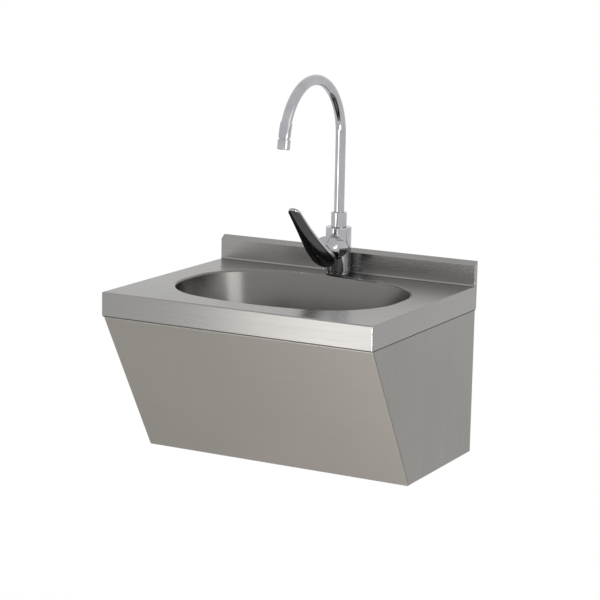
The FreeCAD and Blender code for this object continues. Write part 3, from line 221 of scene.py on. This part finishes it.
def brushed_sheet(name, along, turned_along, pale, dark, rough, grip, seam_shade=sheet_seam_shade):
    """Sheet steel brushed along one axis; faces that look along it are brushed along another.

    Its grip says how far the grain draws out its reflections.
    """
    edge_radius, edge_wear, worn_steel = 0.0009, 0.4, (0.50, 0.49, 0.475)
    # Painted shade: the colour of the steel deep in seams and under the lip.
    painted_seam_shade = (0.040, 0.038, 0.036)
    rough_swing = 0.02
    finish = Finish(name, pale, 1.0, rough)
    end_on = finish.facing_along(along)

    def drawn_out(across, lengthways):
        """Coordinates stretched along the brushing of each face."""
        ways = [finish.stretch(tuple(lengthways if part else across for part in axes[axis]))
                for axis in (along, turned_along)]
        return finish.mix("VECTOR", end_on, *ways)

    hair_place = drawn_out(across=1500.0, lengthways=14.0)
    band_place = drawn_out(across=150.0, lengthways=2.0)
    hair = finish.noise(hair_place, scale=1.0, detail=2.0, rough=0.6)
    band = finish.noise(band_place, scale=1.0, detail=3.0, rough=0.55)
    cloud = finish.noise(finish.place, scale=6.0, detail=2.0, rough=0.5)
    mixed = finish.weigh((hair, 0.40), (band, 0.25), (cloud, 0.35))
    edge = finish.soft_edges(edge_radius)
    steel = finish.blend(finish.span(mixed, 0.0, 1.0, between=(0.36, 0.64)), dark, pale)
    worn = finish.blend(finish.work("MULTIPLY", edge, edge_wear), steel, worn_steel)
    # Base colour: grain, lighter on worn edges, and painted shade in seams.
    finish.give("Base Color", finish.blend(finish.painted_crevice_shade(*seam_shade), painted_seam_shade, worn))
    finish.give("Roughness", finish.span(mixed, rough + rough_swing, rough - rough_swing,
                                         between=(0.34, 0.66)))
    finish.bump(hair, depth=0.00002, strength=0.035)
    finish.bump(band, depth=0.00006, strength=0.007)
    finish.grain_direction(finish.mix("VECTOR", end_on, axes[along], axes[turned_along]), grip)
    return finish.material


def satin_bowl(name, pale, dark, rough):
    """Drawn sheet steel, polished to a satin in all directions."""
    wipe_stretch = (14.0, 14.0, 60.0)
    # Painted shade: the colour of the bowl deep in its seams.
    painted_seam_shade = (0.060, 0.057, 0.055)
    smoother, rougher = 0.02, 0.03
    finish = Finish(name, pale, 1.0, rough)
    speck = finish.noise(finish.place, scale=1100.0, detail=2.0, rough=0.6)
    wipe = finish.noise(finish.stretch(wipe_stretch), scale=1.0, detail=2.0, rough=0.5)
    cloud = finish.noise(finish.place, scale=8.0, detail=2.0, rough=0.5)
    mixed = finish.weigh((wipe, 0.3), (cloud, 0.5), (speck, 0.2))
    steel = finish.blend(finish.span(mixed, 0.0, 1.0), dark, pale)
    finish.give("Base Color", finish.blend(finish.painted_crevice_shade(*sheet_seam_shade), painted_seam_shade, steel))
    finish.give("Roughness", finish.span(mixed, rough - smoother, rough + rougher))
    finish.bump(speck, depth=0.00002, strength=0.20)
    return finish.material


def plated(name, pale, dark, rough):
    """Bright plating with faint wipe marks and water bloom, with painted shade in its seams."""
    wipe_stretch = (90.0, 90.0, 30.0)
    # The last two are the reach and colour of the painted shade in the plating's seams.
    edge_radius, shade_reach, painted_seam_shade = 0.0005, 0.0025, (0.10, 0.10, 0.105)
    least, most = 0.6, 1.6            # shares of its roughness
    finish = Finish(name, pale, 1.0, rough)
    wipe = finish.noise(finish.stretch(wipe_stretch), scale=1.0, detail=3.0, rough=0.55)
    speck = finish.noise(finish.place, scale=2200.0, detail=1.0, rough=0.5)
    cloud = finish.noise(finish.place, scale=35.0, detail=2.0, rough=0.5)
    plate = finish.blend(finish.span(cloud, 0.0, 1.0), dark, pale)
    finish.soft_edges(edge_radius)
    finish.give("Base Color", finish.blend(finish.painted_crevice_shade(shade_reach), painted_seam_shade, plate))
    finish.give("Roughness", finish.span(wipe, rough * least, rough * most))
    finish.bump(speck, depth=0.00002, strength=0.08)
    return finish.material


def turned_metal(name, pale, dark, rough):
    """Machined metal with fine tool marks and a dull bloom."""
    mark_stretch = (60.0, 60.0, 2600.0)
    smoother, rougher = 0.04, 0.10
    finish = Finish(name, pale, 1.0, rough)
    marks = finish.noise(finish.stretch(mark_stretch), scale=1.0, detail=2.0, rough=0.5)
    bloom = finish.noise(finish.place, scale=60.0, detail=4.0, rough=0.6)
    finish.give("Base Color", finish.blend(finish.span(bloom, 0.0, 1.0), dark, pale))
    finish.give("Roughness", finish.span(bloom, rough + rougher, rough - smoother))
    finish.bump(marks, depth=0.00003, strength=0.3)
    finish.bump(bloom, depth=0.00005, strength=0.15)
    return finish.material


def moulded(name, pale, dark, rough, grain=700.0):
    """Moulded plastic, rubber or ceramic with a fine grained skin."""
    flow_stretch = (24.0, 24.0, 60.0)
    smoother, rougher = 0.06, 0.08
    finish = Finish(name, pale, 0.0, rough)
    skin = finish.noise(finish.place, scale=grain, detail=2.0, rough=0.6)
    flow = finish.noise(finish.stretch(flow_stretch), scale=1.0, detail=3.0, rough=0.5)
    finish.give("Base Color", finish.blend(finish.span(flow, 0.0, 1.0), dark, pale))
    finish.give("Roughness", finish.span(skin, rough - smoother, rough + rougher))
    finish.bump(skin, depth=0.00006, strength=0.35)
    finish.bump(flow, depth=0.00010, strength=0.10)
    return finish.material


finishes = {
    "deck": brushed_sheet(
        "brushed_deck_steel", along="x", turned_along="y",
        pale=(0.295, 0.288, 0.280), dark=(0.265, 0.259, 0.252), rough=0.27, grip=0.60),
    # The front panel: the same brushed sheet steel, given a lighter tone as painted light.
    "front": brushed_sheet(
        "brushed_front_steel", along="x", turned_along="y",
        pale=(0.460, 0.441, 0.414), dark=(0.422, 0.405, 0.380), rough=0.34, grip=0.35,
        seam_shade=casing_seam_shade),
    # The side panels: the same sheet steel, grained upright, given a darker tone as painted
    # shade.
    "side": brushed_sheet(
        "brushed_side_steel", along="z", turned_along="x",
        pale=(0.270, 0.259, 0.243), dark=(0.240, 0.230, 0.216), rough=0.30, grip=0.45,
        seam_shade=casing_seam_shade),
    # The bowl: the same steel polished to a satin, given a darker tone as painted shade of its
    # hollow.
    "satin": satin_bowl(
        "satin_steel", pale=(0.200, 0.192, 0.185), dark=(0.170, 0.163, 0.157), rough=0.24),
    "bracket": turned_metal(
        "bracket_steel", pale=(0.46, 0.46, 0.46), dark=(0.36, 0.36, 0.37), rough=0.42),
    "fastener": turned_metal(
        "fastener_steel", pale=(0.60, 0.60, 0.60), dark=(0.48, 0.48, 0.48), rough=0.28),
    "chrome": plated(
        "chrome_plate", pale=(0.430, 0.430, 0.450), dark=(0.370, 0.370, 0.392), rough=0.045),
    "brass": turned_metal(
        "turned_brass", pale=(0.66, 0.47, 0.22), dark=(0.52, 0.35, 0.15), rough=0.30),
    "rubber": moulded(
        "black_rubber", pale=(0.030, 0.030, 0.031), dark=(0.018, 0.018, 0.019), rough=0.62),
    "white": moulded(
        "white_moulding", pale=(0.78, 0.78, 0.76), dark=(0.72, 0.72, 0.70), rough=0.38),
    "grey": moulded(
        "grey_moulding", pale=(0.18, 0.19, 0.20), dark=(0.14, 0.15, 0.16), rough=0.40),
    "ceramic": moulded(
        "ground_ceramic", pale=(0.80, 0.78, 0.70), dark=(0.74, 0.72, 0.64), rough=0.22,
        grain=1500.0),
    "plug": moulded(
        "dark_plug", pale=(0.025, 0.025, 0.028), dark=(0.015, 0.015, 0.017), rough=0.20),
}

slot_finish = {
    "sheet_steel": "deck",
    "fixing_steel": "bracket",
    "fastener_steel": "fastener",
    "chrome_plate": "chrome",
    "brass_parts": "brass",
    "rubber_seals": "rubber",
    "white_plastic": "white",
    "grey_plastic": "grey",
    "ceramic": "ceramic",
    "dark_plug": "plug",
}
# The bowl, front panel and side panels take copies of the sheet steel whose tones are painted
# light and shade.
own_finish = {
    "bowl": "satin",
    "front_panel": "front",
    "side_panel_left": "side",
    "side_panel_right": "side",
}


def dress_frame():
    """Each carried-over solid gets its finish from its material slot, or its own."""
    for name, solid in nodes.items():
        slot = solid.data.materials[0].name.split(".")[0]
        solid.data.materials.clear()
        solid.data.materials.append(finishes[own_finish.get(name, slot_finish.get(slot))])


# ---------------------------------------------------------------- pieces on the basin

weld_reach = 1e-6                     # points nearer than this become one


def basin_piece(name, mesh):
    """A closed piece, its faces turned outwards, that rides on the basin."""
    shape = bmesh.new()
    shape.from_mesh(mesh)
    bmesh.ops.remove_doubles(shape, verts=shape.verts, dist=weld_reach)
    bmesh.ops.recalc_face_normals(shape, faces=shape.faces)
    shape.to_mesh(mesh)
    shape.free()
    piece = put(name, mesh)
    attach(piece, "basin")


# ---------------------------------------------------------------- seams of the casing, with dark strips as painted shade

lip_low = 0.050                       # lower edge of the deck's lip
casing_half = 0.2478
casing_front = -0.3949
casing_foot = (-0.250, -0.203)        # front edge of the casing's bottom, y and z
strip_low = 0.046                     # where the front panel starts to slope
front_sheet = 0.0012

# A dark strip in the gap under the deck's lip, as painted shade for its shadow.
lip_shadow_back = -0.0005               # its two ends, just off the wall
lip_shadow_low = lip_low - 0.0021
lip_shadow_high = lip_low + 0.0010
lip_shadow_front = 0.0028               # thickness along the front, and along each side
lip_shadow_side = 0.0014
lip_shadow_belly = 0.6                  # where it hangs lowest, as a share of its thickness
lip_shadow_sag = 0.0002
lip_shadow_round = 0.0005

# Dark beads in the grooves between the front and side panels, as painted shade for their shadow.
corner_shadow_high = lip_low - 0.0015
corner_shadow_cover = 0.00012           # how far it stands out beyond the side panel
# Outline of the dark bead of painted shade: how far behind the front sheet, and how deep in from
# the side.
corner_shadow_outline = ((0.0, 0.00005), (0.0011, 0.00005), (0.0008, 0.0003),
                       (0.0004, 0.0007), (0.00005, 0.0012))


def shade_bar(name, rings):
    """A dark bar in the black rubber finish, painted shade for a gap, whose cross-sections are
    given one after another.
    """
    count = len(rings[0])
    points = [point for ring in rings for point in ring]
    faces = [tuple(range(count)), tuple(reversed(range(len(points) - count, len(points))))]
    for ring in range(len(rings) - 1):
        for side in range(count):
            first, second = ring * count + side, ring * count + (side + 1) % count
            faces.append((first, second, second + count, first + count))
    mesh = bpy.data.meshes.new(name)
    mesh.from_pydata(points, [], faces)
    mesh.materials.append(finishes["rubber"])
    basin_piece(name, mesh)


def lip_shadow_strips():
    """Thin dark strip that closes the gap between the deck's lip and the casing: painted shade
    for the shadow in that gap.
    """

    def section(side, y, forward):
        x, out_x = side * casing_half, side * lip_shadow_side
        return ((x, y, lip_shadow_low),
                (x + out_x * lip_shadow_belly, y + forward * lip_shadow_belly,
                 lip_shadow_low - lip_shadow_sag),
                (x + out_x, y + forward, lip_shadow_low + lip_shadow_round),
                (x + out_x, y + forward, lip_shadow_high),
                (x, y, lip_shadow_high))

    # Painted shade: a dark strip under the lip, along the front and both sides.
    shade_bar("lip_shadow_strip", [
        section(-1, lip_shadow_back, 0.0), section(-1, casing_front, -lip_shadow_front),
        section(1, casing_front, -lip_shadow_front), section(1, lip_shadow_back, 0.0)])


def corner_shadow_beads():
    """Dark bead in the groove between the front panel and each side panel: painted shade for the
    shadow in that groove.
    """
    foot_y, foot_z = casing_foot
    run = math.hypot(foot_y - casing_front, foot_z - strip_low)
    into_slope = ((strip_low - foot_z) / run, (foot_y - casing_front) / run)
    mitre = math.tan(math.atan2(into_slope[1], into_slope[0]) / 2)
    stations = (((casing_front, corner_shadow_high), (1.0, 0.0)),
                ((casing_front, strip_low), (1.0, mitre)),
                (casing_foot, into_slope))
    # Painted shade: a dark bead down each groove.
    for side, name in ((-1, "corner_shadow_bead_left"), (1, "corner_shadow_bead_right")):
        shade_bar(name, [
            [(side * (casing_half + corner_shadow_cover - depth),
              y + (front_sheet + back) * step_y, z + (front_sheet + back) * step_z)
             for back, depth in corner_shadow_outline]
            for (y, z), (step_y, step_z) in stations])


# ---------------------------------------------------------------- screw threads and weld bead

tap_stud_foot = (0.0, -0.0264, 0.0348)
waste_shank_foot = (0.0, -0.2016, -0.0856)
deck_stud_low = 0.0771
# Rows of studs: where they stand along the deck, and how far from the wall.
deck_stud_rows = (((-0.1478, 0.0, 0.1478), (-0.3837,)),
                  ((-0.2353, 0.2353), (-0.3199, -0.18495, -0.050)))

# The bowl's oval: half sizes, the radii of its corners and long sides, and the y of its middle.
bowl_half_long, bowl_half_broad = 0.1984, 0.1483
bowl_corner, bowl_side = 0.1275, 0.468
bowl_middle = -0.2016
bowl_arc_steps = 24
bead_out = 0.0034                     # the bead's middle, outside the oval
bead_height = 0.0878
ridge_sides = 4
bead_sides = 6


class Pattern(Tree):
    """A geometry tree with named sizes, ending in one plain mesh with one finish."""

    def __init__(self, name, *sizes):
        super().__init__(bpy.data.node_groups.new(name, "GeometryNodeTree"))
        interface = self.tree.interface
        kinds = {"Geometry": "NodeSocketGeometry", "Material": "NodeSocketMaterial",
                 **{size: "NodeSocketFloat" for size in sizes}, "Steps": "NodeSocketInt"}
        self.sockets = {
            asked: interface.new_socket(asked, in_out="INPUT", socket_type=kind).identifier
            for asked, kind in kinds.items()}
        interface.new_socket("Geometry", in_out="OUTPUT", socket_type="NodeSocketGeometry")
        self.given = self.tree.nodes.new("NodeGroupInput")

    def wire(self, source, target):
        """A named size is wired by its name."""
        if isinstance(source, str):
            source = self.given.outputs[source]
        super().wire(source, target)

    def close(self, geometry):
        plain = self.add("GeometryNodeRealizeInstances", {"Geometry": geometry})
        dressed = self.add("GeometryNodeSetMaterial", {
            "Geometry": plain.outputs[0], "Material": "Material"})
        self.add("NodeGroupOutput", {"Geometry": dressed.outputs[0]})

    def make(self, name, slot, points, edges, sizes):
        """Grow the pattern on points or lines into a steel piece on the basin."""
        seed = bpy.data.meshes.new(name + "_seed")
        seed.from_pydata(points, edges, [])
        grower = put(name + "_seed", seed)
        modifier = grower.modifiers.new(name, "NODES")
        modifier.node_group = self.tree
        modifier[self.sockets["Material"]] = finishes["fastener"]
        for key, value in sizes.items():
            modifier[self.sockets[key]] = value
        grown = grower.evaluated_get(bpy.context.evaluated_depsgraph_get())
        mesh = bpy.data.meshes.new_from_object(grown)
        bpy.data.objects.remove(grower)
        bpy.data.meshes.remove(seed)
        mesh.name = name
        basin_piece(name, mesh)


def screw_thread():
    """Helical ridge of a thread, standing on each point."""
    pattern = Pattern("screw_thread", "Radius", "Height", "Turns", "Ridge")
    helix = pattern.add("GeometryNodeCurveSpiral", {
        "Resolution": "Steps", "Rotations": "Turns", "Start Radius": "Radius",
        "End Radius": "Radius", "Height": "Height", "Reverse": False})
    ridge = pattern.add("GeometryNodeCurvePrimitiveCircle", {
        "Resolution": ridge_sides, "Radius": "Ridge"})
    thread = pattern.add("GeometryNodeCurveToMesh", {
        "Curve": helix.outputs[0], "Profile Curve": ridge.outputs[0], "Fill Caps": True})
    stood = pattern.add("GeometryNodeInstanceOnPoints", {
        "Points": "Geometry", "Instance": thread.outputs[0]})
    pattern.close(stood.outputs[0])
    return pattern


def weld_bead():
    """Rippled bead of weld that follows a closed line."""
    pattern = Pattern("weld_bead", "Bead", "Ripple", "Pitch")
    line = pattern.add("GeometryNodeMeshToCurve", {"Mesh": "Geometry"})
    fine = pattern.add("GeometryNodeResampleCurve", {"Curve": line.outputs[0], "Count": "Steps"})
    step = pattern.add("GeometryNodeInputIndex").outputs[0]
    wave = pattern.work("SINE", pattern.work("MULTIPLY", step, "Pitch"))
    swell = pattern.work("MULTIPLY_ADD", wave, "Ripple", 1.0)
    run = pattern.add("GeometryNodeSetCurveRadius", {
        "Curve": fine.outputs[0], "Radius": pattern.work("MULTIPLY", swell, "Bead")})
    ring = pattern.add("GeometryNodeCurvePrimitiveCircle", {
        "Resolution": bead_sides, "Radius": 1.0})
    radius = pattern.add("GeometryNodeInputRadius")
    bead = pattern.add("GeometryNodeCurveToMesh", {
        "Curve": run.outputs[0], "Profile Curve": ring.outputs[0],
        "Scale": radius.outputs[0], "Fill Caps": False})
    pattern.close(bead.outputs[0])
    return pattern


def bowl_line(grow, height):
    """Closed line round the bowl's oval, grown outwards, at a height."""
    corner_x = bowl_half_long - bowl_corner
    side_y = bowl_half_broad - bowl_side
    corner_y = side_y + math.sqrt((bowl_side - bowl_corner) ** 2 - corner_x ** 2)
    turn = math.atan2(corner_y - side_y, corner_x)
    arcs = ((corner_x, corner_y, bowl_corner, 0.0, turn),
            (0.0, side_y, bowl_side, turn, math.pi - turn),
            (-corner_x, corner_y, bowl_corner, math.pi - turn, math.pi),
            (-corner_x, -corner_y, bowl_corner, math.pi, math.pi + turn),
            (0.0, -side_y, bowl_side, math.pi + turn, 2 * math.pi - turn),
            (corner_x, -corner_y, bowl_corner, 2 * math.pi - turn, 2 * math.pi))
    line = []
    for x, y, radius, start, end in arcs:
        for step in range(bowl_arc_steps):
            angle = start + (end - start) * step / bowl_arc_steps
            line.append((x + (radius + grow) * math.cos(angle),
                         bowl_middle + y + (radius + grow) * math.sin(angle), height))
    return line


def small_work():
    """Threads of the tap's stud, the waste and the deck's studs, and the bead round the bowl."""
    thread = screw_thread()
    thread.make("tap_stud_thread", "fastener_steel", [tap_stud_foot], [], {
        "Radius": 0.0040, "Height": 0.0275, "Turns": 22.0, "Ridge": 0.00045, "Steps": 16})
    thread.make("waste_thread", "fastener_steel", [waste_shank_foot], [], {
        "Radius": 0.0209, "Height": 0.0188, "Turns": 8.0, "Ridge": 0.0008, "Steps": 60})
    feet = [(x, y, deck_stud_low) for row, depths in deck_stud_rows for x in row for y in depths]
    thread.make("deck_stud_threads", "fastener_steel", feet, [], {
        "Radius": 0.0025, "Height": 0.0062, "Turns": 8.0, "Ridge": 0.0003, "Steps": 12})
    line = bowl_line(bead_out, bead_height)
    edges = [(step, (step + 1) % len(line)) for step in range(len(line))]
    weld_bead().make("bowl_weld", "sheet_steel", line, edges, {
        "Bead": 0.0015, "Ripple": 0.16, "Pitch": math.pi / 2, "Steps": 1440})


# ---------------------------------------------------------------- studio

white = (1.0, 1.0, 1.0)
soft_grey = (0.74, 0.74, 0.75)        # what the world lights with
floor_colour = (0.62, 0.605, 0.585)
floor_height = -0.76                  # a rim 850 mm above the floor
floor_radius = 2.2
floor_middle_y = -0.2
floor_sides = 96
matt_shift = (0.35, 0.35, 0.0)        # moves the floor's matt part to the left and to the front
matt_reach = 0.55                     # it is all matt as far as this from there,
white_reach = 1.0                     # and all white beyond this

# Soft boxes: name, place, what it is aimed at, width, height, power and colour.
lamps = (
    ("front_box", (-0.78, -2.75, -0.28), (0.10, -0.4, 0.05), 0.9, 0.6, 7.0, (1.0, 0.985, 0.96)),
    ("right_box", (2.1, -0.2, 0.95), (0.0, -0.2, 0.03), 1.3, 0.7, 2.0, white),
    ("floor_box", (0.45, -1.25, -0.20), (0.10, -0.58, floor_height), 0.4, 0.4, 10.0,
     (1.0, 0.98, 0.95)),
    ("bowl_box", (0.98, -0.52, 0.36), (-0.16, -0.12, 0.04), 0.5, 0.25, 1.0, white),
)


def background_rays(tree):
    """1 for the rays that show the white background: to the camera, in metal, through glass."""
    path = tree.add("ShaderNodeLightPath")
    seen = path.outputs["Is Camera Ray"]
    for kind in ("Is Glossy Ray", "Is Transmission Ray"):
        seen = tree.work("MAXIMUM", seen, path.outputs[kind])
    return seen


def floor_finish():
    """Pale floor that keeps the sink's shadow and runs out into the white backdrop."""
    material = bpy.data.materials.new("pale_floor")
    material.use_nodes = True
    tree = Tree(material.node_tree)
    tree.tree.nodes.clear()
    place = tree.add("ShaderNodeTexCoord").outputs["Object"]
    offset = tree.add("ShaderNodeVectorMath", {0: place, 1: matt_shift}, operation="ADD")
    length = tree.add("ShaderNodeVectorMath", {0: offset.outputs["Vector"]}, operation="LENGTH")
    reach = tree.add("ShaderNodeMapRange", {
        "From Min": matt_reach, "From Max": white_reach, "Value": length.outputs["Value"]},
        interpolation_type="SMOOTHSTEP")
    seen = tree.work("MULTIPLY", reach.outputs["Result"], background_rays(tree))
    matt = tree.add("ShaderNodeBsdfDiffuse", {"Color": opaque(floor_colour)})
    glow = tree.add("ShaderNodeEmission", {"Color": opaque(white)})
    mix = tree.add("ShaderNodeMixShader", {
        "Fac": seen, 1: matt.outputs["BSDF"], 2: glow.outputs["Emission"]})
    tree.add("ShaderNodeOutputMaterial", {"Surface": mix.outputs["Shader"]})
    return material


def lay_floor():
    """Round floor under the sink."""
    mesh = bpy.data.meshes.new("floor")
    shape = bmesh.new()
    bmesh.ops.create_circle(shape, cap_ends=True, radius=floor_radius, segments=floor_sides)
    shape.to_mesh(mesh)
    shape.free()
    mesh.materials.append(floor_finish())
    floor = put("floor", mesh)
    floor.location = (0.0, floor_middle_y, floor_height)


def hang_lamp(name, place, target, width, height, power, colour):
    """A soft box that the camera doesn't see."""
    data = bpy.data.lights.new(name, "AREA")
    data.shape = "RECTANGLE"
    data.size = width
    data.size_y = height
    data.energy = power
    data.color = colour
    lamp = put(name, data)
    lamp.location = place
    lamp.visible_camera = False
    aim = Vector(target) - Vector(place)
    lamp.rotation_euler = aim.to_track_quat("-Z", "Y").to_euler()


def light_studio():
    """White background to the eye and in metal, an even grey for soft light, and soft boxes."""
    world = bpy.data.worlds.new("studio")
    bpy.context.scene.world = world
    world.use_nodes = True
    tree = Tree(world.node_tree)
    tree.tree.nodes.clear()
    colour = tree.blend(background_rays(tree), soft_grey, white)
    background = tree.add("ShaderNodeBackground", {"Color": colour})
    tree.add("ShaderNodeOutputWorld", {"Surface": background.outputs["Background"]})
    for lamp in lamps:
        hang_lamp(*lamp)


aim_camera()
dress_frame()
lip_shadow_strips()
corner_shadow_beads()
small_work()
lay_floor()
light_studio()
bpy.context.scene.view_settings.view_transform = "Standard"
